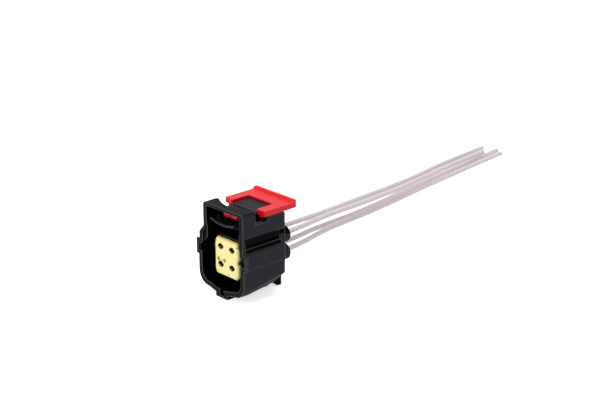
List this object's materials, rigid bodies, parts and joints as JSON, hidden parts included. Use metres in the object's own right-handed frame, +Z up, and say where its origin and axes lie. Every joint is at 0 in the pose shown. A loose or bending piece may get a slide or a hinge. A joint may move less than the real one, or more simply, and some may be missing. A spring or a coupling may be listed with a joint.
{
  "type": "connector pigtail",
  "caption": "Rectangular sealed plug with latch arm, sliding position lock and terminal lock, on short loose single wires.",
  "frame": {"origin": "on the surface it stands on, under the middle of the connector between its front rim and the ends of its rear tubes", "axes": "+X across the connector, -Y the way the plug mates, +Y the way the wires leave, +Z up through the latch"},
  "size_m": [0.0522, 0.1687, 0.0278],
  "materials": {
    "black_moulding": "satin",
    "red_moulding": "satin",
    "yellow_moulding": "satin",
    "seal_rubber": "matt",
    "tinned_metal": "satin",
    "bare_copper": "bright",
    "wire_jacket": "satin"
  },
  "bodies": {
    "connector": {"outer_housing": "black_moulding", "interface_seal": "seal_rubber", "contact_1": "tinned_metal", "contact_2": "tinned_metal", "contact_3": "tinned_metal", "contact_4": "tinned_metal", "conductor_1": "bare_copper", "conductor_2": "bare_copper", "conductor_3": "bare_copper", "conductor_4": "bare_copper", "wire_seal_1": "seal_rubber", "wire_seal_2": "seal_rubber", "wire_seal_3": "seal_rubber", "wire_seal_4": "seal_rubber", "wire_1": "wire_jacket", "wire_2": "wire_jacket", "wire_3": "wire_jacket", "wire_4": "wire_jacket"},
    "slider": {"cpa_slider": "red_moulding"},
    "lock": {"terminal_lock": "yellow_moulding"}
  },
  "joints": [
    {"name": "cpa_slide", "type": "slide", "parent": "connector", "child": "slider", "axis": [0, -1, 0], "range_m": [0, 0.0026]},
    {"name": "terminal_lock_slide", "type": "slide", "parent": "connector", "child": "lock", "axis": [0, -1, 0], "range_m": [0, 0.0015]}
  ]
}
